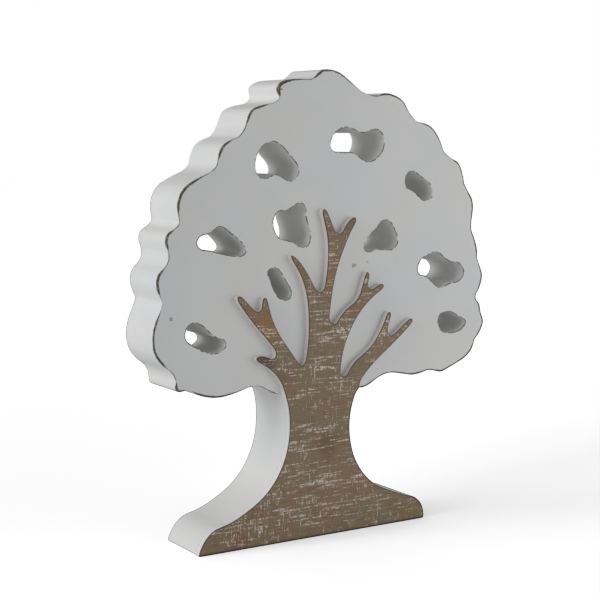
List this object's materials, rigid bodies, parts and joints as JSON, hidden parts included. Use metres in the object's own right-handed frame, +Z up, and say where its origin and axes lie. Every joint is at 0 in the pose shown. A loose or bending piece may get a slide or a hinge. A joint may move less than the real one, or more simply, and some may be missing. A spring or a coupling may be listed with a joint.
{
  "type": "tree of life ornament",
  "caption": "Free-standing wooden tree silhouette with a scalloped, pierced crown, a flared foot and a raised trunk-and-branches panel on its front.",
  "frame": {"origin": "bottom centre of the whole object's box: the floor plane, midway across the crown's width and midway between the back and the panel's face", "axes": "+Z up, +X to the right seen from the front, the front with the raised trunk faces -Y"},
  "size_m": [0.1694, 0.028, 0.2],
  "materials": {
    "board_paint": "satin off-white brushed paint over a thick sawn board, rubbed back to dark wood along its front edges",
    "panel_stain": "brown stain with a pale dry-brushed weave over a thin sawn panel, its cut edges painted off-white"
  },
  "bodies": {
    "root": {"tree_board": "board_paint", "trunk_panel": "panel_stain"}
  },
  "joints": []
}
